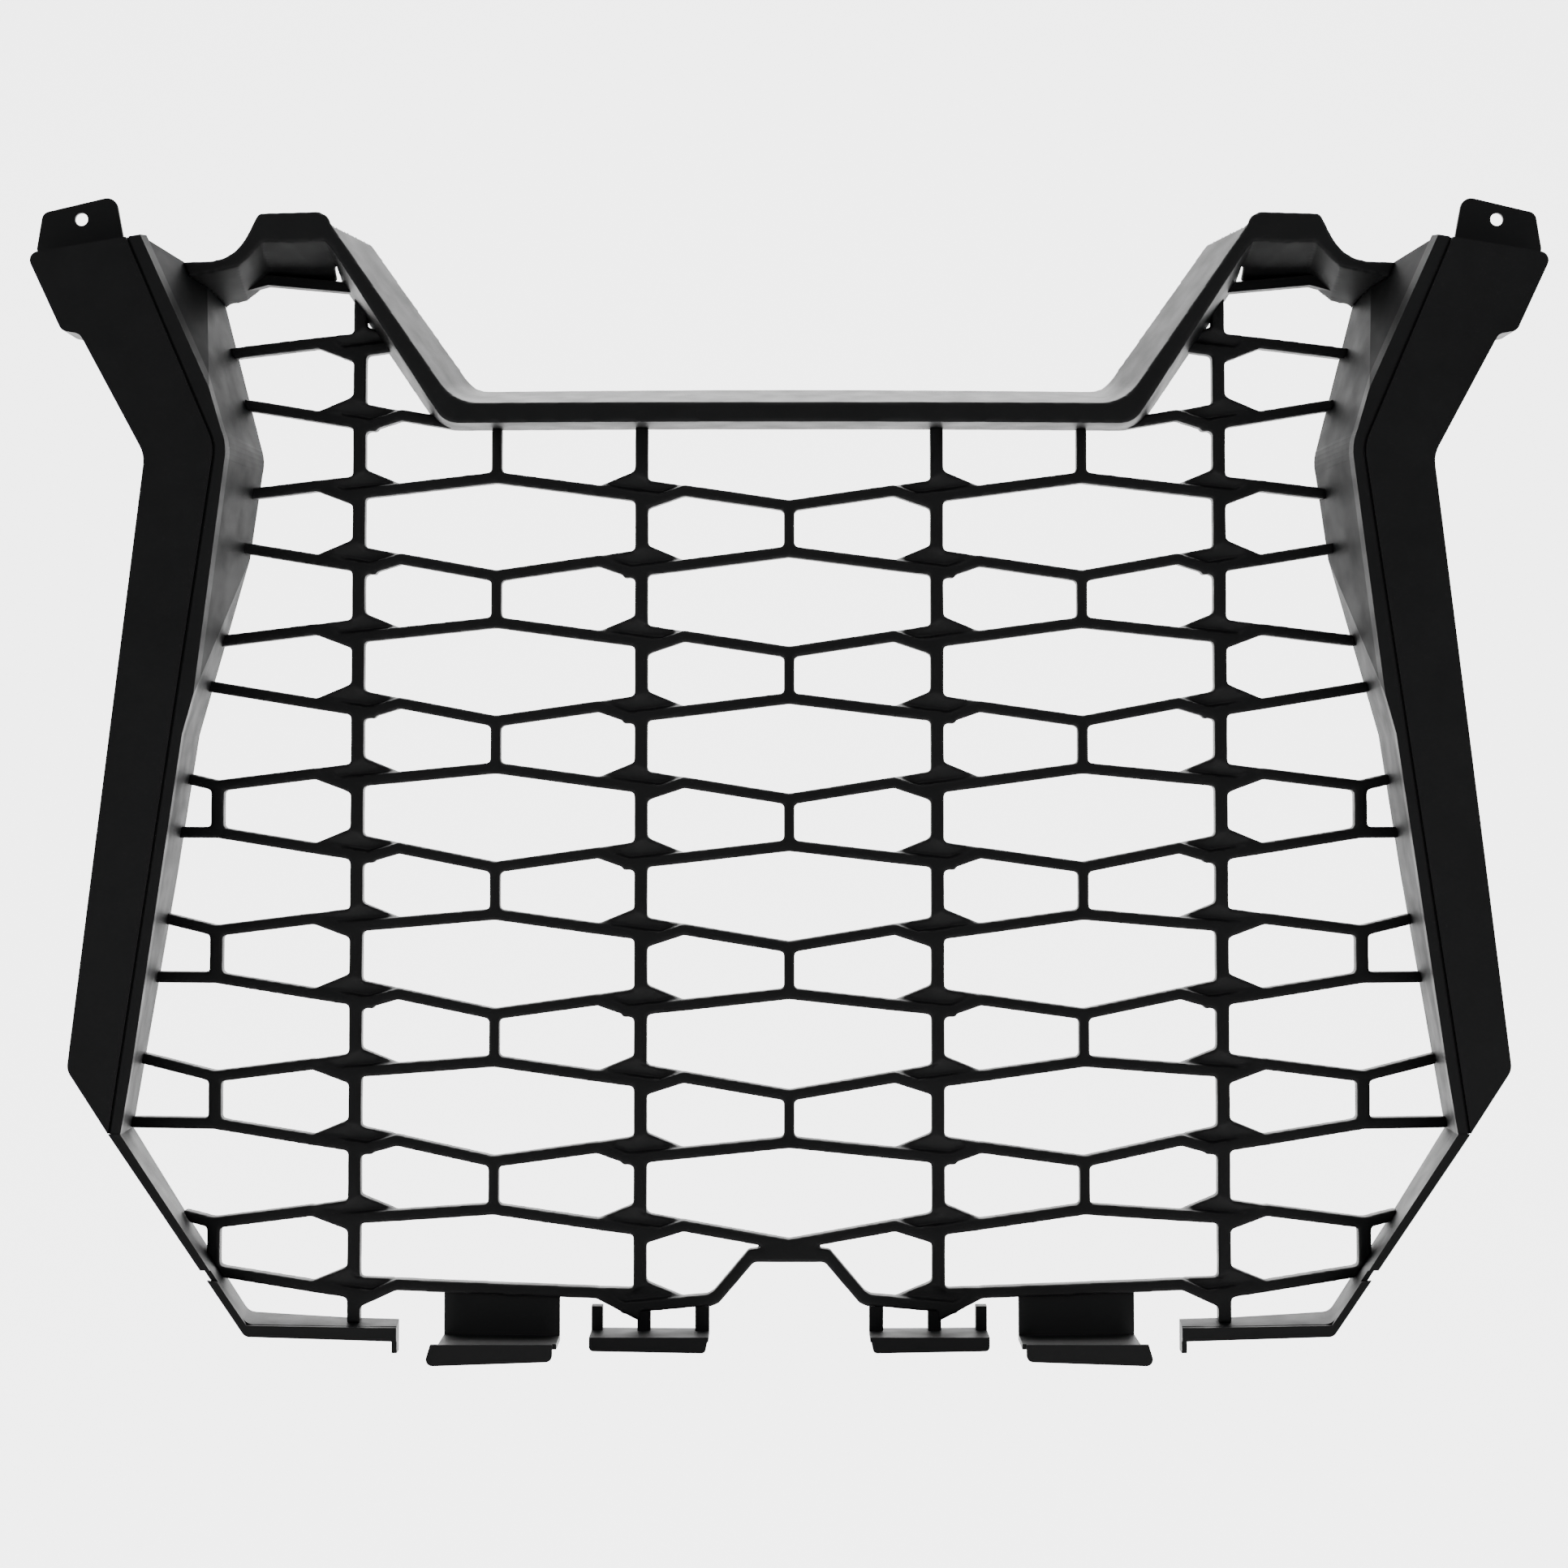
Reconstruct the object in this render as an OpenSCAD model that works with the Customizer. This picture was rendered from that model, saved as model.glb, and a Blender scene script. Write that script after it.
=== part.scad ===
// Front grille for a side-by-side vehicle: two side panels with ducted inner
// walls, a U-shaped cowl with a horn at each end, a bowed hexagon mesh, lower
// frames and two snap hooks. The real one is a single moulding, split here
// where its walls, bars and flanges meet face to face.
// X runs across, Y towards the rear and Z up. The design datum is the front
// plane of the side panels; place() then moves the whole part, so that the
// origin lies midway between the two upper fixing holes.

/* [Overall] */
// Width across the outer top corners of the side panels
overall_w = 700; // [660:1:860]
// Height of a side panel, from its outer top corner to its bottom tip
panel_h = 404; // [330:1:440]

/* [Side panels] */
// Thickness of the panel face
panel_t = 3; // [2:0.1:4]
// Thickness of the flange round the panel
flange_t = 2.5; // [1.5:0.1:3.5]
// Depth of the flange behind the panel face
flange_depth = 32; // [24:1:45]
// Width of the raised bead along the duct
bead_w = 4.5; // [3:0.1:6]
// Width of the groove between the bead and the panel
groove_w = 1.2; // [0.6:0.1:2]
// How far the bead stands behind the panel face
bead_setback = 0.4; // [0:0.1:1.5]
// Thickness of the strip that carries the bead, behind the panel
bead_base_t = 2.5; // [1.5:0.1:4]

/* [Fixing tabs] */
// Diameter of the fixing hole in each tab
hole_d = 6; // [4:0.1:8]
// Distance of the hole inside the panel's outer top corner
hole_inset = 20; // [16:0.5:24]
// Height of the hole above the panel's outer top corner
hole_rise = 20; // [15:0.5:26]
// Thickness of the tab
tab_t = 2.5; // [1.5:0.1:4]

/* [Duct] */
// Thickness of the duct walls and of the cowl's walls
wall_t = 2.4; // [1.5:0.1:3]

/* [Cowl] */
// Width across the inner top corners of the two horns
cowl_w = 425; // [345:1:440]
// Height of the cowl's bridge below the horns
cowl_drop = 90; // [75:1:110]
// Width of a horn's front face
horn_w = 31; // [25:1:40]
// Thickness of the cowl's front face
cowl_face_t = 2.6; // [1.6:0.1:4]
// Depth of the cowl's deck
cowl_depth = 40; // [32:1:55]

/* [Mesh] */
// Radius of the bow of the mesh and cowl, seen from above
bow_r = 1600; // [1200:10:3000]
// Angle by which the mesh leans back at the top
lean = 3.5; // [0:0.1:6]
// Depth of the mesh's front behind the panel face, at mid height
mesh_setback = 10; // [6:0.5:16]
// Depth of the bars from front to back
rail_depth = 8.5; // [6:0.1:12]
// Height of a bar's front face
bar_h = 4.7; // [3:0.1:6]
// Width of the columns
column_w = 5.6; // [4:0.1:7]
// Width of the short struts
strut_w = 4.4; // [3:0.1:6]
// Distance from the centre to the inner columns
column_1 = 68.4; // [60:0.1:75]
// Distance from the centre to the outer columns
column_2 = 200.8; // [190:0.1:215]
// Distance from the centre to the side struts
strut_1 = 136; // [128:0.5:144]
// Distance from the centre to the outermost struts
strut_2 = 267; // [255:0.5:275]
// Height from one row of cells to the next, at the centre
row_pitch = 68; // [55:0.1:80]
// Distance from a column at which a bar bends down to it
knee_run = 19.8; // [14:0.1:24]
// How far a bent bar drops below its own line at the column
knee_drop = 9.7; // [7:0.1:12]
// How far a gusset's face slopes back per millimetre of height
gusset_slope = 0.3; // [0.1:0.05:0.5]

/* [Lower frames and hooks] */
// Height of the front lip of the corner rails and bracket frames
lip_h = 6.2; // [4:0.1:9]
// Thickness of the lips, shelves and posts
frame_t = 2.5; // [1.6:0.1:4]
// How far the bracket lips stand in front of the panel face
bracket_reach = 26; // [14:1:34]
// Width of a snap hook's lip
hook_w = 58; // [45:1:62]
// How far the hook lips stand in front of the panel face
hook_reach = 30; // [16:1:38]
// Height of a hook's lip
hook_lip_h = 9.8; // [7:0.1:14]

/* [Hidden] */

$fn = 32;
body_grey = [0.13, 0.13, 0.135];
big = 900;
arc_steps = 5;
half_w = overall_w / 2;
cowl_half = cowl_w / 2;
horn_end = cowl_half + horn_w;
mid_z = -259;
// Depths at which the lofted spaces start and end, and at which they are drawn
near_y = -12;
far_y = 72;
drawn_y = 50;

corner_z = -15.6;
tip_z = corner_z - panel_h;
hole_x = half_w - hole_inset;
hole_z = corner_z + hole_rise;
tab_y = flange_depth - tab_t;
bead_back = panel_t + bead_base_t;
// Height of the fold along the front of the cowl's bridge, and of its underside
fold_z = 6.1 - cowl_drop;
bridge_h = 8.7;

// ---------------------------------------------------------------- helpers

function unit(v) = v / norm(v);
function flip(p) = [for (i = [len(p) - 1:-1:0]) p[i]];
function mirrored(p) = [for (q = p) [-q[0], q[1]]];
function at_x(line, x) =
    line[0][1] + (line[1][1] - line[0][1]) * (x - line[0][0]) / (line[1][0] - line[0][0]);

// Points of a rounded corner of radius r at b, between a and c
function corner_arc(a, b, c, r) =
    let (
        u = unit(a - b),
        v = unit(c - b),
        half = acos(u * v) / 2,
        centre = b + unit(u + v) * r / sin(half),
        from = b + u * r / tan(half) - centre,
        to = b + v * r / tan(half) - centre,
        start = atan2(from[1], from[0]),
        turn = atan2(to[1], to[0]) - start,
        sweep = turn > 180 ? turn - 360 : turn < -180 ? turn + 360 : turn
    )
    [for (i = [0:arc_steps]) centre + r * [cos(start + sweep * i / arc_steps), sin(start + sweep * i / arc_steps)]];

function flat_point(q) = [q[0], q[1]];

// A path of [x, z, radius] corners as points
function rounded(p) =
    let (n = len(p))
    [
        for (i = [0:n - 1])
            each p[i][2] == 0
                ? [flat_point(p[i])]
                : corner_arc(flat_point(p[(i + n - 1) % n]), flat_point(p[i]), flat_point(p[(i + 1) % n]), p[i][2])
    ];

// A path moved by d to the left of its direction, as an open path or as a loop
function shifted(p, d, loop = false) =
    let (n = len(p))
    [
        for (i = [0:n - 1])
            let (
                before = unit(i == 0 && !loop ? p[1] - p[0] : p[i] - p[(i + n - 1) % n]),
                after = unit(i == n - 1 && !loop ? p[i] - p[i - 1] : p[(i + 1) % n] - p[i]),
                way = unit(before + after)
            )
            p[i] + [-way[1], way[0]] * d / (way * before)
    ];

// The strip of a given width on the left of a path
function strip(p, w, inner = 0) = concat(shifted(p, inner), flip(shifted(p, w)));

// Gives an outline in X and Z its depth, from y0 to y1
module slab(y0, y1) translate([0, y1, 0]) rotate([90, 0, 0]) linear_extrude(y1 - y0) children();

// Settles a built-up outline before it is given depth
module outline() offset(delta = 0) children();

module both_sides() {
    children();
    mirror([1, 0, 0]) children();
}

// The solid between two loops of the same number of points, which hold at
// depth 0 and drawn_y, carried on in the same directions from near_y to far_y
module loft(front, rear) {
    n = len(front);
    near = front + (rear - front) * near_y / drawn_y;
    far = front + (rear - front) * far_y / drawn_y;
    sides = [for (i = [0:n - 1]) each [[i, n + i, (i + 1) % n], [(i + 1) % n, n + i, n + (i + 1) % n]]];
    ends = [[for (i = [0:n - 1]) i], [for (i = [n - 1:-1:0]) n + i]];
    polyhedron([for (q = near) [q[0], near_y, q[1]], for (q = far) [q[0], far_y, q[1]]], concat(ends, sides));
}

// Everything behind a depth d of the cowl's bowed face
module behind_bow(d) translate([0, bow_r, -big / 2]) cylinder(r = bow_r - d, h = big, $fn = 360);

// Everything behind a depth d of the mesh's bowed and leaning front
module behind_mesh(d) translate([0, mesh_setback, mid_z]) rotate([-lean, 0, 0]) translate([0, bow_r, -big / 2])
    cylinder(r = bow_r - d, h = big, $fn = 360);

// Depth of the mesh's front at a point
function mesh_y(x, z) = mesh_setback + x * x / (2 * bow_r) + tan(lean) * (z - mid_z);

// ---------------------------------------------------------------- spaces

// Lower end of the duct: the corner of the side panel's tip, the lower corner
// and the end of the floor, at the front and at drawn_y
foot_x = column_2 - 20.6;
foot_z = -150.4 - 5 * (row_pitch - 0.8) - 21.8;

function side_front() = [
    [half_w - 92.1, corner_z - 87.1, 25],
    [half_w - 71.6, corner_z - 220.4, 0],
    [half_w - 43.3, tip_z, 0],
    [half_w - 101.1, foot_z + 1, 6],
    [foot_x, foot_z, 0],
    [foot_x, foot_z - 90, 0]
];
function side_rear() = [
    [half_w - 104.2, corner_z - 92.1, 20],
    [half_w - 73, corner_z - 220.4, 0],
    [half_w - 42.5, tip_z, 0],
    [half_w - 97, foot_z + 8, 6],
    [foot_x, foot_z + 8, 0],
    [foot_x, foot_z - 90, 0]
];

// The underside of the cowl, of the horn and of the saddle, from the middle out
function roof_front() = [
    [cowl_half - 54.6, fold_z - bridge_h, 10],
    [cowl_half + 4.1, -0.4, 0],
    [horn_end, 1, 0],
    [horn_end + 12.5, -10.5, 0],
    [half_w - 55.3, corner_z - 0.4, 0]
];
function roof_rear() = [
    [cowl_half - 49.3, fold_z - bridge_h - 1.2, 15],
    [cowl_half - 2.3, -24.2, 0],
    [horn_end + 1.2, -20.5, 0],
    [horn_end + 12.5, -29.8, 0],
    [half_w - 80.5, corner_z - 19.7, 0]
];

// Top ends of the duct walls, well above the cowl
side_top_front = [half_w - 38.8, corner_z + 38.6, 0];
side_top_rear = [half_w - 61.3, corner_z + 38.6, 0];

// A loop from its right-hand half, whose first point may lie on the centre line
function with_left(p) = concat(p, [for (q = flip(mirrored(p))) if (q[0] != 0) q]);
function two_sided(p) = with_left(rounded(p));
// The same, where the middle only aims the first edge and isn't a corner
function loop_from(middle, p) = with_left([for (q = rounded(concat([middle], p))) if (q[0] != 0) q]);

// The air space of the duct
module duct_space() loft(
    loop_from([0, fold_z - bridge_h, 0], concat(roof_front(), side_front())),
    loop_from([0, fold_z - bridge_h - 1.2, 0], concat(roof_rear(), side_rear()))
);

// The space below the roof alone, grown by g
module roof_space(g = 0) loft(
    shifted(loop_from([0, fold_z - bridge_h, 0], concat(roof_front(), [[half_w, mid_z, 0]])), g, true),
    shifted(loop_from([0, fold_z - bridge_h - 1.2, 0], concat(roof_rear(), [[half_w, mid_z, 0]])), g, true)
);

// The space between the two duct walls, open at the top, grown by g
module wide_space(g = 0) loft(
    shifted(two_sided(concat([side_top_front], side_front())), g, true),
    shifted(two_sided(concat([side_top_rear], side_rear())), g, true)
);

// The notch above the cowl's deck, grown by g
module notch_space(g = 0) loft(
    shifted(two_sided([[cowl_half + 17.6, 20, 0], [cowl_half - 56.7, fold_z - 1.9, 22], [0, fold_z, 0]]), g, true),
    shifted(two_sided([[cowl_half + 2.1, 20, 0], [cowl_half - 65.3, fold_z + 10.9, 10], [0, fold_z + 12.6, 0]]), g, true)
);

// ---------------------------------------------------------------- outlines of the mesh

stations = [0, column_1, strut_1, column_2, strut_2];
pitches = [for (n = [0, 1, 1, 2, 1]) row_pitch - 0.4 * n];
last_row = 5;
first_low_row = 2;
bar_lap = 8;
gusset_reach = 19.6;
gusset_rise = 6.7;
// Slopes of the bars between the outermost struts and the duct walls, on the low rows
rising = 0.23;
level = 0;

// Where the bar that reaches a station at height z in the top row does so in row k
function row(z, i, k) = [stations[i], z - k * pitches[i]];

// Rails A run valley, peak, valley from the middle out; rails B the other way.
// Each is three bars, and each bar's own line is given by its ends.
function a_inner(k) = [row(-129.9, 0, k), row(-119.9, 1, k)];
function a_middle(k) = [row(-125.5, 1, k), row(-116.3, 2, k), row(-123.3, 3, k)];
function a_outer(k) = [row(-117.3, 3, k), row(-124.5, 4, k)];
function b_inner(k) = [row(-151.3, 0, k), row(-160, 1, k)];
function b_outer(k) = [row(-157.5, 3, k), row(-146.3, 4, k)];
// The lowest rail B is nearly straight between the columns
function b_middle(k) = k == last_row
    ? [row(-154.5, 1, k), row(-152.6, 2, k), row(-152.8, 3, k)]
    : [row(-152.7, 1, k), row(-162.2, 2, k), row(-150.4, 3, k)];
function upper_half(p) = [p[1], p[2]];

function to_wall(line, slope) = [half_w, line[1][1] + slope * (half_w - line[1][0])];
function own_slope(line) = (line[1][1] - line[0][1]) / (line[1][0] - line[0][0]);
function point_on(line, x) = [x, at_x(line, x)];
function drop(q) = q - [0, knee_drop];

function a_bars(k) =
    let (v = a_inner(k), m = a_middle(k), w = a_outer(k), out = k < first_low_row ? own_slope(w) : rising)
    [
        [v[0], point_on(v, column_1 - knee_run), drop(v[1])],
        [point_on(m, column_1 - bar_lap), m[1], point_on(upper_half(m), column_2 + bar_lap)],
        [drop(w[0]), point_on(w, column_2 + knee_run), w[1], to_wall(w, out)]
    ];
function b_bars(k) =
    let (v = b_inner(k), m = b_middle(k), n = upper_half(m), w = b_outer(k), out = k < first_low_row ? own_slope(w) : level)
    [
        [v[0], point_on(v, column_1 + bar_lap)],
        [drop(m[0]), point_on(m, column_1 + knee_run), m[1], point_on(n, column_2 - knee_run), drop(m[2])],
        [point_on(w, column_2 - bar_lap), w[1], to_wall(w, out)]
    ];

module bars(paths) for (p = paths)
    polygon(concat([for (q = p) q + [0, bar_h / 2]], [for (q = flip(p)) q - [0, bar_h / 2]]));

module rail_a(k) bars(a_bars(k));
module rail_b(k) bars(b_bars(k));
// The topmost rail B shows only beyond the cowl's leg
module top_rail_b() intersection() {
    rail_b(-1);
    translate([strut_1 + 20, -160]) square([half_w, 160]);
}
module all_rails() {
    for (k = [-1:last_row]) rail_a(k);
    for (k = [0:last_row]) rail_b(k);
    top_rail_b();
}

// A gusset above the crossing at column x, whose bent bar lies on side s
module gusset(x, s, bent, straight) {
    tip = point_on(straight, x - s * gusset_reach) + [0, bar_h / 2];
    polygon([
        tip,
        [x - s * column_w / 2, tip[1] + gusset_rise],
        point_on(bent, x + s * column_w / 2) + [0, bar_h / 2],
        point_on(bent, x + s * (knee_run - 1)) + [0, bar_h / 2],
        point_on(bent, x + s * bar_lap) - [0, knee_drop / 2],
        point_on(straight, x - s * bar_lap)
    ]);
}
function gusset_top(x, s, straight) = at_x(straight, x - s * gusset_reach) + bar_h / 2 + gusset_rise;

// Rows of gussets, given as [column, side of the bent bar, bent bar, straight bar]
function inner_gussets() = [for (k = [0:last_row]) each [
    [column_1, -1, a_inner(k), a_middle(k)],
    [column_1, 1, b_middle(k), b_inner(k)]
]];
function outer_gussets() = [for (k = [-1:last_row]) each [
    [column_2, 1, a_outer(k), upper_half(a_middle(k))],
    [column_2, -1, upper_half(b_middle(k)), b_outer(k)]
]];
module all_gussets() for (g = concat(inner_gussets(), outer_gussets())) gusset(g[0], g[1], g[2], g[3]);

module upright(x, w, z0, z1) translate([x - w / 2, z0]) square([w, z1 - z0]);
// Struts at a station, from bars of height z0 in the top row down to z1
module struts(i, w, z0, z1, rows) for (k = rows)
    upright(stations[i], w, row(z1, i, k)[1], row(z0, i, k)[1]);
module centre_struts_2d() struts(0, strut_w, -129.9, -151.3, [0:last_row - 1]);
module side_struts_2d() {
    struts(2, strut_w, -162.2, -116.3 - row_pitch, [0:last_row - 1]);
    struts(2, strut_w, -158.2, -116.3 - row_pitch, [-1]);
}
module outer_struts_2d() struts(4, column_w, -124.5, -146.3, [first_low_row:last_row]);
module inner_column_2d() upright(column_1, column_w, b_inner(last_row)[1][1], 0);
module outer_column_2d() upright(column_2, column_w, foot_z - 12, 0);

// Uprights, cut where the rails and gussets cross them
module between_bars() outline() difference() {
    children();
    all_rails();
    all_gussets();
}

// Gives an outline the depth and curve of the mesh, trimmed to the duct
module mesh_piece() intersection() {
    slab(near_y, far_y) children();
    duct_space();
    difference() {
        behind_mesh(0);
        behind_mesh(rail_depth);
    }
}

// ---------------------------------------------------------------- the pieces, right-hand side first

module painted() color(body_grey) children();

// Edge of the panel along the duct, from the top down, at its front face
function duct_edge() = rounded([
    [half_w - 51.5 + 4.2, corner_z + 18.6, 0],
    [half_w - 92.1, corner_z - 87.1, 25],
    [half_w - 43.3, tip_z, 0],
    [half_w - 43.3 + 1.5, tip_z - 10, 0]
]);
// The other edges of the panel, from the inner top corner round to the bottom tip
function panel_edge() = rounded([
    [half_w - 60, corner_z + 10, 0],
    [half_w, corner_z, flange_t + 1.5],
    [half_w - 16.3, corner_z - 35.4, flange_t + 1.5],
    [half_w - 24.7, corner_z - 36.9, flange_t + 1.5],
    [half_w - 54.4, corner_z - 92.4, 15],
    [half_w - 18.7, tip_z + 29.6, 8],
    [half_w - 37.7, tip_z, 0]
]);
module panel_outline() polygon(concat(panel_edge(), [[half_w - 50, tip_z], [half_w - 110, corner_z - 90]]));
// The strip of the panel within a distance w of the duct
module duct_strip(w) polygon(strip(duct_edge(), w, -30));

module side_panel() {
    slab(0, panel_t) outline() difference() {
        panel_outline();
        duct_strip(bead_w + groove_w);
    }
    slab(panel_t, flange_depth) outline() difference() {
        polygon(strip(panel_edge(), 0, -flange_t));
        duct_strip(bead_w + groove_w + 3);
    }
}

module edge_bead() difference() {
    union() {
        slab(bead_setback, panel_t) outline() intersection() {
            panel_outline();
            duct_strip(bead_w);
        }
        slab(panel_t, bead_back) outline() intersection() {
            panel_outline();
            duct_strip(bead_w + groove_w + 3);
        }
    }
    wide_space();
}

module duct_wall() difference() {
    intersection() {
        wide_space(wall_t);
        slab(bead_back, far_y) translate([half_w - 160, tip_z]) square([160, panel_h + 12]);
    }
    wide_space();
    behind_mesh(rail_depth);
    // The top edge falls towards the rear
    translate([half_w - 130, 0, corner_z + 8.6]) rotate([-atan(0.33), 0, 0]) cube([130, big, big / 2]);
}

module fixing_tab() difference() {
    translate([hole_x, tab_y + tab_t, hole_z]) rotate([90, 0, 0]) linear_extrude(tab_t) difference() {
        polygon(rounded([
            [20, -18.5, 0], [20.8, -13.6, 2], [18, 3, 4], [-16, 11, 5], [-19.5, -8, 2], [-19.5, -16, 0]
        ]));
        translate([-hole_x, -hole_z]) polygon(concat(panel_edge(), [[0, tip_z]]));
    }
    translate([hole_x, tab_y - 1, hole_z]) rotate([-90, 0, 0]) cylinder(d = hole_d, h = tab_t + 2);
}

// The upper frame's face and its roof, within an outline
module roofed() {
    difference() {
        intersection() {
            slab(near_y, far_y) children();
            behind_bow(0);
        }
        behind_bow(cowl_face_t);
        notch_space();
        duct_space();
    }
    difference() {
        intersection() {
            slab(near_y, far_y) children();
            roof_space(wall_t);
            behind_bow(cowl_face_t);
        }
        duct_space();
        notch_space();
        behind_mesh(rail_depth);
    }
}

// The upper edge of the horn and of the saddle
function crest() = rounded([
    [cowl_half, 3.2, 0],
    [cowl_half + 5.1, 5.8, 2],
    [horn_end + 2.5, 5.6, 2.5],
    [horn_end + 14.1, -16, 20],
    [half_w - 20, -16, 0]
]);
module under_crest() polygon(concat(crest(), [[half_w - 20, -40], [cowl_half, -40]]));

module saddle() intersection() {
    roofed() outline() intersection() {
        under_crest();
        translate([horn_end, -60]) square([half_w - horn_end, 80]);
    }
    wide_space();
}

module horn() roofed() outline() intersection() {
    under_crest();
    translate([cowl_half, -60]) square([horn_w, 80]);
}

// The cowl's four edges from the middle of the bridge to the top of a leg: the
// fold and the lip's lower edge at the front, and the rear of deck and underside
function finer(p, n) = [
    for (i = [0:len(p) - 2]) each norm(p[i + 1] - p[i]) > 20
        ? [for (j = [0:n - 1]) p[i] + (p[i + 1] - p[i]) * j / n]
        : [p[i]],
    p[len(p) - 1]
];
function cowl_path(z, corner, top) = finer(rounded([[0, z, 0], corner, concat(top, [0])]), 6);
fold = cowl_path(fold_z, [cowl_half - 57.9, fold_z + 0.3, 22], [cowl_half, 0.2]);
lip = cowl_path(fold_z - bridge_h, [cowl_half - 53.8, fold_z - bridge_h, 12], [cowl_half, -9.5]);
deck_rear = cowl_path(fold_z + 10.1, [cowl_half - 64.9, fold_z + 9.8, 12], [cowl_half - 15.1, -3.9]);
roof_edge = cowl_path(fold_z - bridge_h - 1.1, [cowl_half - 49.5, fold_z - bridge_h - 1.1, 15], [cowl_half - 2.3, -24.2]);

function at_depth(q, d) = [q[0], q[0] * q[0] / (2 * bow_r) + d, q[1]];
// A point moved from a by t towards b
function towards(a, b, t) = a + unit(b - a) * t;

// Outline of the cowl's section at step i: deck, face and underside
function cowl_section(i) =
    let (
        f = at_depth(fold[i], 0),
        l = at_depth(lip[i], 0),
        d = at_depth(deck_rear[i], cowl_depth),
        u = [roof_edge[i][0], mesh_y(roof_edge[i][0], roof_edge[i][1]) + rail_depth, roof_edge[i][1]],
        back = [0, cowl_face_t, 0],
        f2 = towards(f + back, l + back, wall_t),
        l2 = towards(l + back, f + back, wall_t)
    )
    [d, f, l, u, towards(u, d, wall_t), l2, f2, towards(d, u, wall_t)];

// The cowl through a list of steps, where a negative step is on the left
function cowl_ring(i) = [for (q = cowl_section(abs(i))) i < 0 ? [-q[0], q[1], q[2]] : q];
module cowl_run(steps) {
    m = 8;
    last = (len(steps) - 1) * m;
    sides = [
        for (i = [0:len(steps) - 2], j = [0:m - 1])
            let (a = i * m + j, b = i * m + (j + 1) % m)
            each [[a, a + m, b], [b, a + m, b + m]]
    ];
    caps = [[0, 6, 7], [0, 1, 6], [1, 5, 6], [1, 2, 5], [2, 4, 5], [2, 3, 4]];
    polyhedron(
        [for (i = steps) each cowl_ring(i)],
        concat(sides, caps, [for (c = caps) [c[2] + last, c[1] + last, c[0] + last]])
    );
}

// The steps from the middle to the corner's end belong to the bridge
bridge_end = 11;
cowl_end = len(fold) - 1;

module cowl_leg() cowl_run([for (i = [bridge_end:cowl_end]) i]);

module cowl_bridge() cowl_run([for (i = [-bridge_end:bridge_end]) i]);

module horn_brace() mesh_piece() outline() difference() {
    polygon(strip([[cowl_half - 30, -31], [cowl_half - 4.5, -28.4], [horn_end + 1.5, -24.4], [horn_end + 12, -27]], 4.7));
    upright(column_2, column_w, -60, 0);
}

module upper_rail_1() mesh_piece() outline() difference() {
    rail_a(-1);
    top_rail_b();
}
module upper_rail_2() mesh_piece() outline() top_rail_b();

module mesh_rail_a(k) mesh_piece() outline() both_sides() rail_a(k);
module mesh_rail_b(k) mesh_piece() outline() both_sides() rail_b(k);

arch_end = 36;

module lower_rail() mesh_piece() outline() intersection() {
    rail_b(last_row);
    translate([arch_end, foot_z]) square([half_w, 80]);
}

module inner_column() mesh_piece() between_bars() inner_column_2d();
module outer_column() mesh_piece() between_bars() outer_column_2d();
module side_struts() mesh_piece() between_bars() side_struts_2d();
module outer_struts() mesh_piece() between_bars() outer_struts_2d();
module centre_struts() mesh_piece() outline() difference() {
    centre_struts_2d();
    both_sides() all_rails();
}

// Gussets, whose faces slope back from their top edges
module gusset_row(list) intersection() {
    union() for (g = list) let (z = gusset_top(g[0], g[1], g[3]), y = mesh_y(g[0], z)) intersection() {
        slab(near_y, y + rail_depth) outline() difference() {
            gusset(g[0], g[1], g[2], g[3]);
            all_rails();
        }
        translate([g[0] - 30, y, z]) rotate([atan(gusset_slope), 0, 0]) translate([0, 0, -40]) cube([60, 40, 60]);
    }
    duct_space();
}

// The lower corner: an L-shaped rail from the panel's tip to the end of the floor
function corner_edge() = [
    [half_w - 43.3, tip_z], [half_w - 101.1, foot_z + 1], [foot_x, foot_z], [foot_x, foot_z + 30]
];
function corner_outer_edge() = rounded([
    [half_w - 37.7, tip_z, 0],
    [half_w - 100.4, foot_z - 4.2, 4],
    [foot_x - 3, foot_z - 6.5, 4],
    [foot_x - 6.7, foot_z + 2, 3],
    [foot_x - 6.7, foot_z + 30, 0]
]);
module above_lower_rail() {
    rail_b(last_row);
    translate([foot_x - 20, at_x(upper_half(b_middle(last_row)), foot_x)]) square([20, 60]);
}
module corner_rail() {
    difference() {
        slab(0, frame_t) outline() difference() {
            polygon(concat(corner_outer_edge(), flip(corner_edge())));
            above_lower_rail();
        }
        wide_space();
    }
    difference() {
        intersection() {
            wide_space(wall_t);
            slab(frame_t, far_y) translate([foot_x, foot_z - 12]) square([half_w - foot_x, tip_z - foot_z + 12]);
        }
        wide_space();
        behind_mesh(rail_depth);
    }
    // The end post, up to the lower rail
    difference() {
        slab(frame_t, far_y) outline() difference() {
            translate([foot_x - 6.7, foot_z - 2]) square([6.7, 32]);
            above_lower_rail();
        }
        behind_mesh(rail_depth);
        wide_space();
    }
}

// A frame of two cells below the lower rail, with a shelf and a front lip
bracket_inner_x = 36.6;
bracket_outer_x = 90.5;
shelf_z = foot_z - 0.6;

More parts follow.
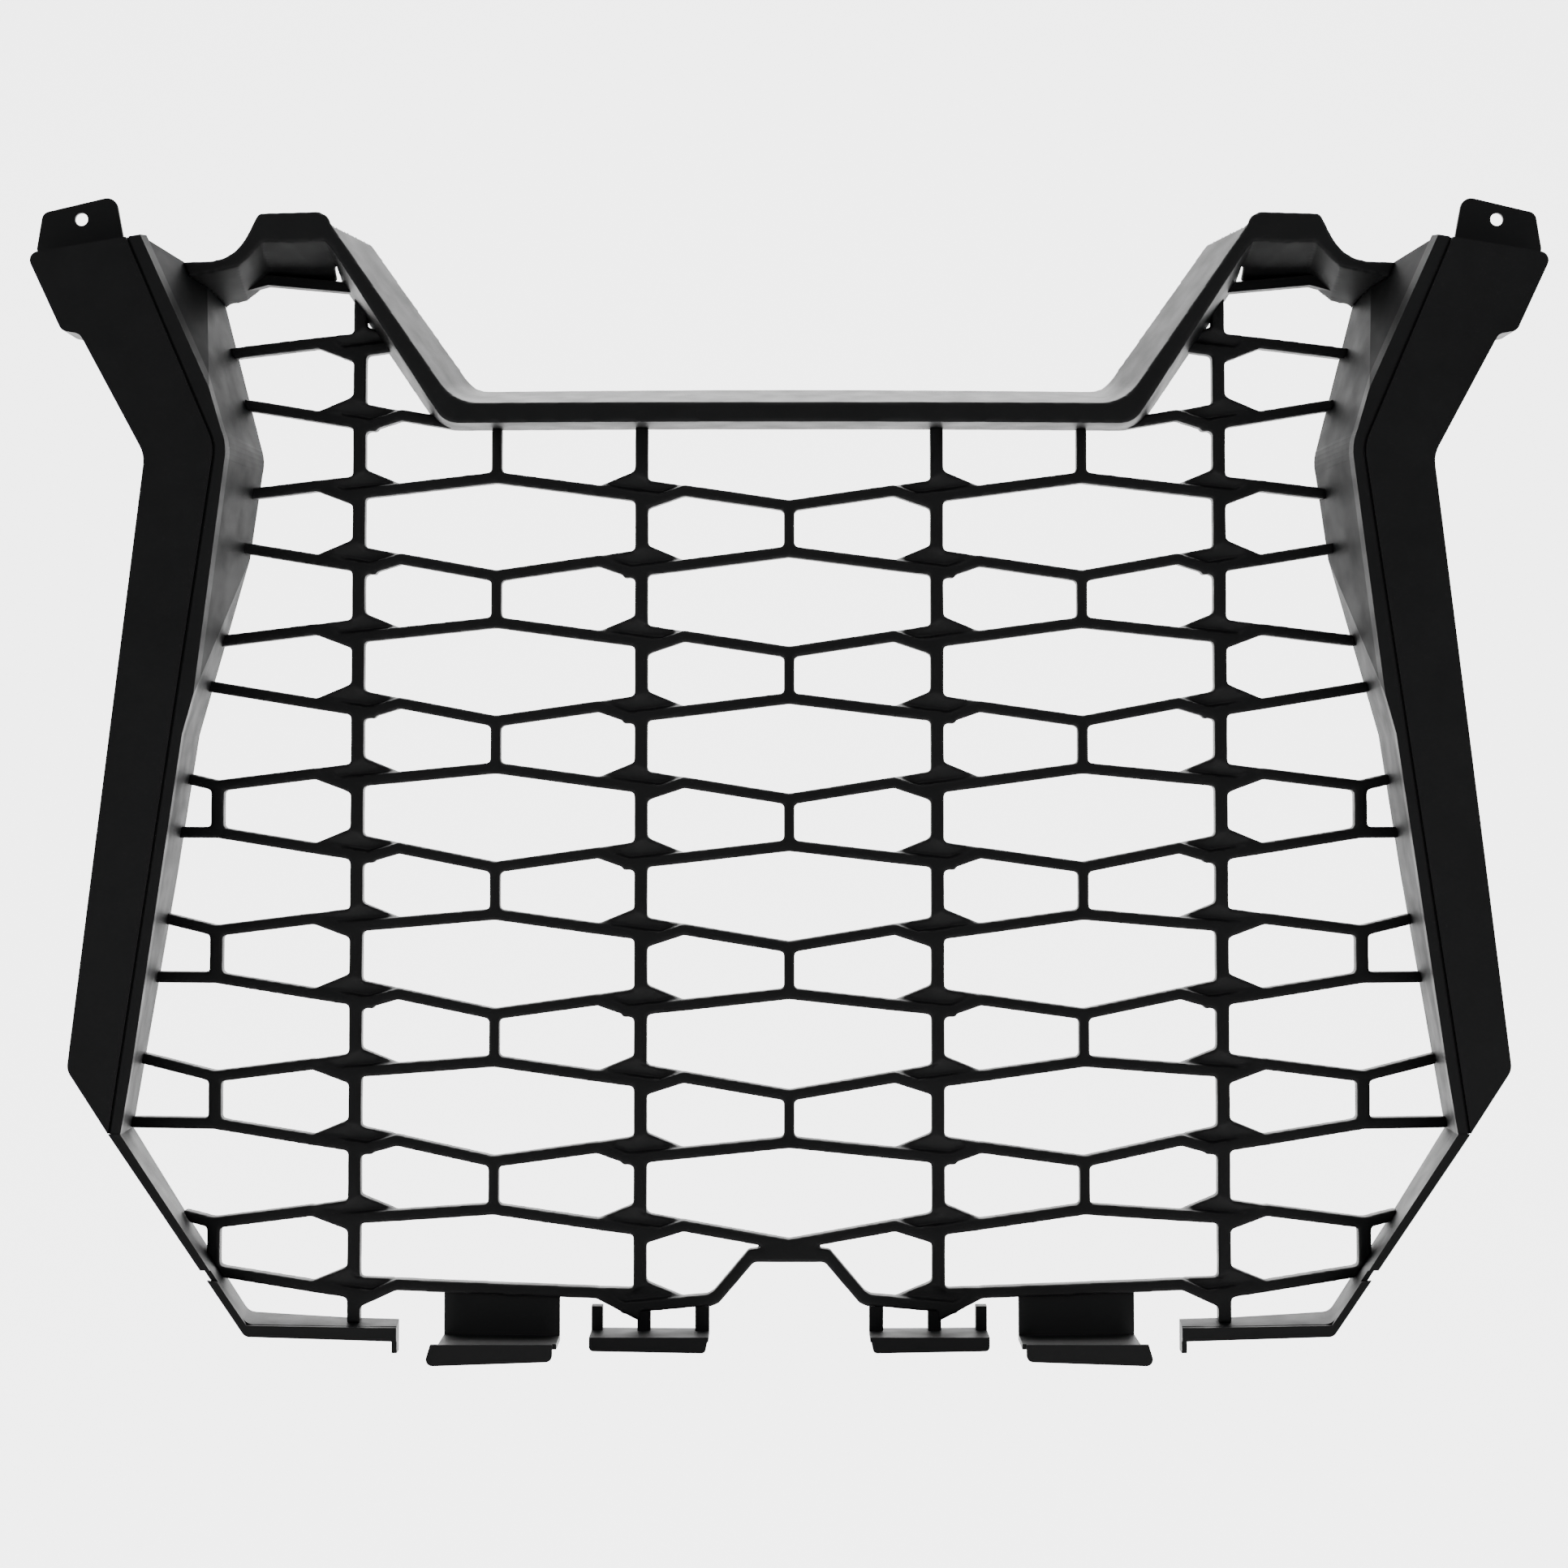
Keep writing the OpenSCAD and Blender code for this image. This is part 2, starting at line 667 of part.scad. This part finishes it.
module under_rails(x0, x1) outline() difference() {
    translate([x0, shelf_z]) square([x1 - x0, 30]);
    all_rails();
    translate([x0 - 1, at_x(b_inner(last_row), column_1)]) square([x1 - x0 + 2, 60]);
}
module bracket_frame() {
    for (x = [[bracket_inner_x, 43], [63.5, 69.5], [85.4, bracket_outer_x]]) difference() {
        intersection() {
            slab(near_y, far_y) under_rails(x[0], x[1]);
            behind_mesh(0);
        }
        behind_mesh(rail_depth);
    }
    difference() {
        slab(-bracket_reach + frame_t, far_y)
            translate([bracket_inner_x, shelf_z - frame_t]) square([bracket_outer_x - bracket_inner_x, frame_t]);
        behind_mesh(rail_depth);
    }
    slab(-bracket_reach, -bracket_reach + frame_t) polygon(rounded([
        [bracket_inner_x, shelf_z, 0], [bracket_outer_x, shelf_z, 0],
        [bracket_outer_x, shelf_z - lip_h, 2], [bracket_inner_x + 1.5, shelf_z - lip_h - 1, 2]
    ]));
}

module lower_arch() intersection() {
    slab(near_y, far_y) outline() difference() {
        both_sides() polygon([
            [0, foot_z + 36.6], [9.7, foot_z + 36.6], [18.4, foot_z + 35.9], [34.6, foot_z + 16.9],
            [arch_end, foot_z + 16.3], [arch_end, foot_z + 10.5], [32.3, foot_z + 12.1],
            [16.3, foot_z + 30.6], [0, foot_z + 30.6]
        ]);
        both_sides() rail_a(last_row);
    }
    difference() {
        behind_mesh(0);
        behind_mesh(rail_depth);
    }
}

// A snap hook: a neck below the lower rail, a shelf forward and a front lip
hook_inner_x = 105.1;
hook_neck_w = 53.4;
module snap_hook() {
    lip_x = hook_inner_x + 1.8;
    floor_z = foot_z - 3.3;
    difference() {
        intersection() {
            slab(near_y, far_y) outline() difference() {
                translate([hook_inner_x, floor_z]) square([hook_neck_w, 40]);
                all_rails();
                translate([hook_inner_x - 1, b_middle(last_row)[1][1]]) square([hook_neck_w + 2, 60]);
            }
            behind_mesh(1);
        }
        behind_mesh(1 + frame_t);
    }
    difference() {
        slab(-hook_reach + frame_t, far_y)
            translate([hook_inner_x, floor_z - frame_t]) square([hook_neck_w, frame_t]);
        behind_mesh(1 + frame_t);
    }
    slab(-hook_reach, -hook_reach + frame_t) polygon(rounded([
        [lip_x, floor_z, 0], [lip_x + hook_w - 3, floor_z, 0],
        [lip_x + hook_w, floor_z - hook_lip_h, 3], [lip_x, floor_z - hook_lip_h + 2, 3]
    ]));
}

module place() translate([0, -tab_y, -hole_z]) painted() children();
module right() place() children();
module left() place() mirror([1, 0, 0]) children();

left() side_panel();  // left_side_panel
right() side_panel();  // right_side_panel
left() edge_bead();  // left_edge_bead
right() edge_bead();  // right_edge_bead
left() duct_wall();  // left_duct_wall
right() duct_wall();  // right_duct_wall
left() fixing_tab();  // left_fixing_tab
right() fixing_tab();  // right_fixing_tab
left() saddle();  // left_saddle
right() saddle();  // right_saddle
left() horn();  // left_horn
right() horn();  // right_horn
left() cowl_leg();  // left_cowl_leg
right() cowl_leg();  // right_cowl_leg
place() cowl_bridge();
left() horn_brace();  // left_horn_brace
right() horn_brace();  // right_horn_brace
left() upper_rail_1();  // left_upper_rail_1
right() upper_rail_1();  // right_upper_rail_1
left() upper_rail_2();  // left_upper_rail_2
right() upper_rail_2();  // right_upper_rail_2
place() mesh_rail_a(0);  // mesh_rail_1
place() mesh_rail_b(0);  // mesh_rail_2
place() mesh_rail_a(1);  // mesh_rail_3
place() mesh_rail_b(1);  // mesh_rail_4
place() mesh_rail_a(2);  // mesh_rail_5
place() mesh_rail_b(2);  // mesh_rail_6
place() mesh_rail_a(3);  // mesh_rail_7
place() mesh_rail_b(3);  // mesh_rail_8
place() mesh_rail_a(4);  // mesh_rail_9
place() mesh_rail_b(4);  // mesh_rail_10
place() mesh_rail_a(5);  // mesh_rail_11
left() lower_rail();  // left_lower_rail
right() lower_rail();  // right_lower_rail
left() outer_column();  // left_outer_column
left() inner_column();  // left_inner_column
right() inner_column();  // right_inner_column
right() outer_column();  // right_outer_column
left() gusset_row(outer_gussets());  // left_outer_gussets
left() gusset_row(inner_gussets());  // left_inner_gussets
right() gusset_row(inner_gussets());  // right_inner_gussets
right() gusset_row(outer_gussets());  // right_outer_gussets
left() outer_struts();  // left_outer_struts
left() side_struts();  // left_side_struts
place() centre_struts();
right() side_struts();  // right_side_struts
right() outer_struts();  // right_outer_struts
left() corner_rail();  // left_corner_rail
right() corner_rail();  // right_corner_rail
left() bracket_frame();  // left_bracket_frame
right() bracket_frame();  // right_bracket_frame
place() lower_arch();
left() snap_hook();  // left_hook
right() snap_hook();  // right_hook
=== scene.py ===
import math

import bmesh
import bpy
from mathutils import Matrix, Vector


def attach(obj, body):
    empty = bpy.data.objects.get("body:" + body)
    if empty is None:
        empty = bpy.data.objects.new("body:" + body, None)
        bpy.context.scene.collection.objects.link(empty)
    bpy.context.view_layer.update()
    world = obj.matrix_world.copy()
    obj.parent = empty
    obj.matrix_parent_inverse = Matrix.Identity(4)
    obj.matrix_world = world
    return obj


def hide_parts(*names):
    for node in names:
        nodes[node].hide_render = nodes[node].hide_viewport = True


# %% [markdown]
# # Front grille of an off-road utility vehicle
# The real part is one large injection moulding in black polypropylene. It has two lamp panels at its
# sides, a shallow cowl across its top, an open lattice of slanted rails and thin columns between them,
# and two snap hooks below. The CAD model holds every region of the moulding as its own solid. This
# script joins the lattice regions into one seamless skin, rounds the moulded edges, and gives the part
# its fine-textured black finish.

# %% Load the frame
MM = 0.001

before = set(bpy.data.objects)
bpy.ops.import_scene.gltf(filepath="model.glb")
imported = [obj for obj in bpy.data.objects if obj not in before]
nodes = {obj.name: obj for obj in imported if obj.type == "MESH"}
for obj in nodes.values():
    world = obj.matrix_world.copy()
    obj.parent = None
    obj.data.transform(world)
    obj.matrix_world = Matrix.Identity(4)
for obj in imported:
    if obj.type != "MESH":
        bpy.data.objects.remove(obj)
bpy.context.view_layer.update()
print("CAD nodes:", len(nodes))

# %% [markdown]
# ## Helpers for materials
# One function turns sRGB hex colours into the linear values that the shader sockets hold. Another adds
# any shader node with its settings and its links, so each material reads as a short list. A socket is
# given by its name, or as i and its number where several sockets share one name.


# %% Material helpers
def linear(hex_colour):
    channels = [int(hex_colour[i : i + 2], 16) / 255 for i in (1, 3, 5)]
    lit = [c / 12.92 if c <= 0.04045 else ((c + 0.055) / 1.055) ** 2.4 for c in channels]
    return [*lit, 1.0]


def add(tree, kind, settings=None, **sockets):
    node = tree.nodes.new(kind)
    for name, value in (settings or {}).items():
        setattr(node, name, value)
    for name, value in sockets.items():
        by_number = name[0] == "i" and name[1:].isdigit()
        socket = node.inputs[int(name[1:]) if by_number else name.replace("_", " ")]
        if isinstance(value, bpy.types.NodeSocket):
            tree.links.new(value, socket)
        else:
            socket.default_value = value
    return node


def ramp(tree, value, low, high, dark, light):
    node = add(tree, "ShaderNodeMapRange", {"clamp": True}, Value=value, From_Min=low, From_Max=high)
    mix = add(tree, "ShaderNodeMix", {"data_type": "RGBA"}, i0=node.outputs[0], i6=dark, i7=light)
    return mix.outputs[2]


# %% [markdown]
# ## Textured black polypropylene
# The tool's faces are spark-eroded, which leaves a fine random grain of about 0.35 mm on the moulding.
# The grain scatters the light, so the black shows with a dull sheen and no mirror reflections. Slow
# changes in the colour and the sheen stand for flow marks and for the handling of an unpainted part.


# %% Textured polypropylene
CLOUD_MM = 90
FLOW_MM = 14


def textured_plastic(name, dark, light, roughness, specular, grain_mm, depth_mm):
    material = bpy.data.materials.new(name)
    material.use_nodes = True
    tree = material.node_tree
    tree.nodes.clear()
    place = add(tree, "ShaderNodeTexCoord").outputs["Object"]
    fine = add(tree, "ShaderNodeTexNoise", Vector=place, Scale=1000 / grain_mm, Detail=3.0, Roughness=0.6)
    cloud = add(tree, "ShaderNodeTexNoise", Vector=place, Scale=1000 / CLOUD_MM, Detail=4.0, Roughness=0.55)
    flow = add(tree, "ShaderNodeTexNoise", Vector=place, Scale=1000 / FLOW_MM, Detail=2.0)
    colour = ramp(tree, cloud.outputs[0], 0.3, 0.7, linear(dark), linear(light))
    rough = add(
        tree, "ShaderNodeMapRange", Value=flow.outputs[0], From_Min=0.3, From_Max=0.7,
        To_Min=roughness - 0.05, To_Max=roughness + 0.06,
    )
    bump = add(tree, "ShaderNodeBump", Strength=0.35, Distance=depth_mm / 1000, Height=fine.outputs[0])
    shader = add(
        tree, "ShaderNodeBsdfPrincipled", Base_Color=colour, Roughness=rough.outputs[0],
        Normal=bump.outputs[0], IOR=1.49,
    )
    shader.inputs["Specular IOR Level"].default_value = specular
    add(tree, "ShaderNodeOutputMaterial", Surface=shader.outputs[0])
    print("material:", name)
    return material


# Fine spark-eroded grain on the faces that show
face_finish = textured_plastic(
    "spark_textured_black_pp", dark="#0d0d0e", light="#131314",
    roughness=0.5, specular=0.22, grain_mm=0.35, depth_mm=0.12,
)
# A shallower and duller grain on the walls that slide out of the tool
wall_finish = textured_plastic(
    "drawn_wall_black_pp", dark="#0e0e0f", light="#141415",
    roughness=0.55, specular=0.12, grain_mm=0.5, depth_mm=0.06,
)

# %% [markdown]
# ## Skins: several CAD regions moulded into one
# On the real part the plastic flows through rails, columns, wedges and struts in one shot. There are no
# joints between them, and every inner corner has a fillet of about 2 mm so that the melt can turn.
# Copies of the regions are grown a little, so that they overlap and make up for what relaxing takes
# off. They are fused on a fine grid and relaxed, which rounds the corners, and flat stretches are then
# thinned out again. Closed pockets left inside the skin are dropped.


# %% Skins
MERGE = 0.01 * MM


def copy_of(names, grow):
    mesh = bmesh.new()
    for name in names:
        part = bmesh.new()
        part.from_mesh(nodes[name].data)
        bmesh.ops.remove_doubles(part, verts=part.verts, dist=MERGE)
        bmesh.ops.recalc_face_normals(part, faces=part.faces)
        part.normal_update()
        for vert in part.verts:
            vert.co += vert.normal * grow
        scratch = bpy.data.meshes.new("scratch")
        part.to_mesh(scratch)
        part.free()
        mesh.from_mesh(scratch)
        bpy.data.meshes.remove(scratch)
    return mesh


def new_object(name, mesh, material):
    data = bpy.data.meshes.new(name)
    mesh.to_mesh(data)
    mesh.free()
    data.materials.append(material)
    piece = bpy.data.objects.new(name, data)
    bpy.context.scene.collection.objects.link(piece)
    return piece


def keep_largest_shell(mesh):
    left, largest = set(mesh.verts), set()
    while left:
        shell, front = set(), {left.pop()}
        while front:
            shell |= front
            front = {e.other_vert(v) for v in front for e in v.link_edges} - shell
        left -= shell
        if len(shell) > len(largest):
            largest = shell
    bmesh.ops.delete(mesh, geom=[v for v in mesh.verts if v not in largest], context="VERTS")


def skin(name, names, grow, voxel, passes, triangles, material):
    piece = new_object(name, copy_of(names, grow), material)
    fuse = piece.modifiers.new("fuse", "REMESH")
    fuse.mode = "VOXEL"
    fuse.voxel_size = voxel
    relax = piece.modifiers.new("relax", "SMOOTH")
    relax.factor = 0.5
    relax.iterations = passes
    depsgraph = bpy.context.evaluated_depsgraph_get()
    fused = bmesh.new()
    fused.from_mesh(piece.evaluated_get(depsgraph).to_mesh())
    keep_largest_shell(fused)
    share = triangles / (2 * len(fused.faces))
    bpy.data.objects.remove(piece)
    piece = new_object(name, fused, material)
    if share < 1:
        thin = piece.modifiers.new("thin", "DECIMATE")
        thin.ratio = share
        depsgraph = bpy.context.evaluated_depsgraph_get()
        data = bpy.data.meshes.new_from_object(piece.evaluated_get(depsgraph))
        piece.modifiers.clear()
        piece.data = data
    piece.data.shade_smooth()
    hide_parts(*names)
    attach(piece, "root")
    print(name, len(piece.data.polygons), "faces from", len(names), "regions")


# %% [markdown]
# ## The lattice
# Rails, columns, wedges, struts, and the arch below them are one net of bars about 4.7 mm wide. It is
# built as one skin. The net is what the eye goes to first, so its grid is the finest.

# %% The lattice
NET = ("mesh_rail", "column", "gussets", "struts", "upper_rail", "lower_rail", "lower_arch")
net_names = [name for name in nodes if any(word in name for word in NET)]
skin(
    "lattice", net_names, grow=0.4 * MM, voxel=0.9 * MM, passes=3, triangles=190000,
    material=face_finish,
)

# %% [markdown]
# ## The cowl
# Cowl legs, centre bar, horns and saddles form one folded ribbon. Its folds are rounded in the tool.

# %% The cowl
COWL = ("cowl_leg", "cowl_bridge", "horn", "saddle")
cowl_names = [name for name in nodes if name.endswith(COWL)]
skin(
    "cowl", cowl_names, grow=0.12 * MM, voxel=1 * MM, passes=2, triangles=180000,
    material=face_finish,
)

# %% [markdown]
# ## The regions that carry over from the CAD model
# Side panels, beads, duct walls, braces, corner rails, tabs, brackets and hooks keep their CAD shape.
# Panels, beads, tabs and hooks get a small edge radius, because a moulding has no knife edges and the
# light catches along these rounded borders.


# %% Carried-over regions
def soften(node, radius):
    weld = node.modifiers.new("weld", "WELD")
    weld.merge_threshold = MERGE
    edge = node.modifiers.new("edge", "BEVEL")
    edge.width = radius
    edge.segments = 3
    edge.limit_method = "ANGLE"
    edge.angle_limit = math.radians(35)
    edge.harden_normals = True


EDGE_RADII_MM = {"side_panel": 0.7, "edge_bead": 0.6, "fixing_tab": 0.4, "hook": 0.5}
WALLS = ("duct_wall", "horn_brace", "bracket_frame")
for name, node in nodes.items():
    node.data.materials.clear()
    node.data.materials.append(wall_finish if name.endswith(WALLS) else face_finish)
    for word, radius in EDGE_RADII_MM.items():
        if name.endswith(word):
            soften(node, radius * MM)
print("finished CAD nodes:", len(nodes))

# %% [markdown]
# ## Floor, light and camera
# The part hangs above a pale studio floor, in front of a backlit paper that draws its outline. Soft
# boxes above and at both sides are weak, so the black faces stay dark and only the walls that turn
# towards the paper pick up light.


# %% Studio
def stage_plane(name, size, location, rotation, glow):
    bpy.ops.mesh.primitive_plane_add(size=size, location=location, rotation=rotation)
    plane = bpy.context.object
    plane.name = name
    material = bpy.data.materials.new("pale_studio_paper")
    material.use_nodes = True
    shader = material.node_tree.nodes["Principled BSDF"]
    shader.inputs["Base Color"].default_value = linear("#f6f6f6")
    shader.inputs["Roughness"].default_value = 0.9
    shader.inputs["Emission Color"].default_value = linear("#ffffff")
    shader.inputs["Emission Strength"].default_value = glow
    plane.data.materials.append(material)


def area_light(name, location, target, size, power):
    lamp = bpy.data.lights.new(name, "AREA")
    lamp.shape = "SQUARE"
    lamp.size = size
    lamp.energy = power
    holder = bpy.data.objects.new(name, lamp)
    holder.location = location
    holder.rotation_euler = (Vector(target) - Vector(location)).to_track_quat("-Z", "Y").to_euler()
    bpy.context.scene.collection.objects.link(holder)


MIDDLE = (0, 0, -0.26)
UPRIGHT = (math.radians(90), 0, 0)
stage_plane("floor", size=30, location=(0, 0, -1.25), rotation=(0, 0, 0), glow=0.25)
stage_plane("backdrop", size=6, location=(0, 2.2, 0), rotation=UPRIGHT, glow=3.4)
area_light("top_softbox", (0, 0.9, 1.5), MIDDLE, 1.6, 70)
area_light("front_softbox", (0, -1.6, 1.6), MIDDLE, 1.0, 8)
area_light("left_softbox", (-2.0, -0.6, 0.4), MIDDLE, 1.2, 9)
area_light("right_softbox", (2.0, -0.6, 0.4), MIDDLE, 1.2, 9)

world = bpy.data.worlds.new("studio")
bpy.context.scene.world = world
world.use_nodes = True
background = world.node_tree.nodes["Background"]
background.inputs["Color"].default_value = linear("#ffffff")
background.inputs["Strength"].default_value = 0.22

# The lens takes in a square of twice this half width at the distance of the side panels' front faces
HALF_VIEW_MM = 359.35
DISTANCE_MM = 1700

lens = bpy.data.cameras.new("camera")
lens.sensor_fit = "HORIZONTAL"
lens.angle = 2 * math.atan(HALF_VIEW_MM / DISTANCE_MM)
camera = bpy.data.objects.new("camera", lens)
camera.location = (-0.0024, -1.7295, -0.2633)
camera.rotation_euler = UPRIGHT
bpy.context.scene.collection.objects.link(camera)
bpy.context.scene.camera = camera
print("camera angle:", round(math.degrees(lens.angle), 2))
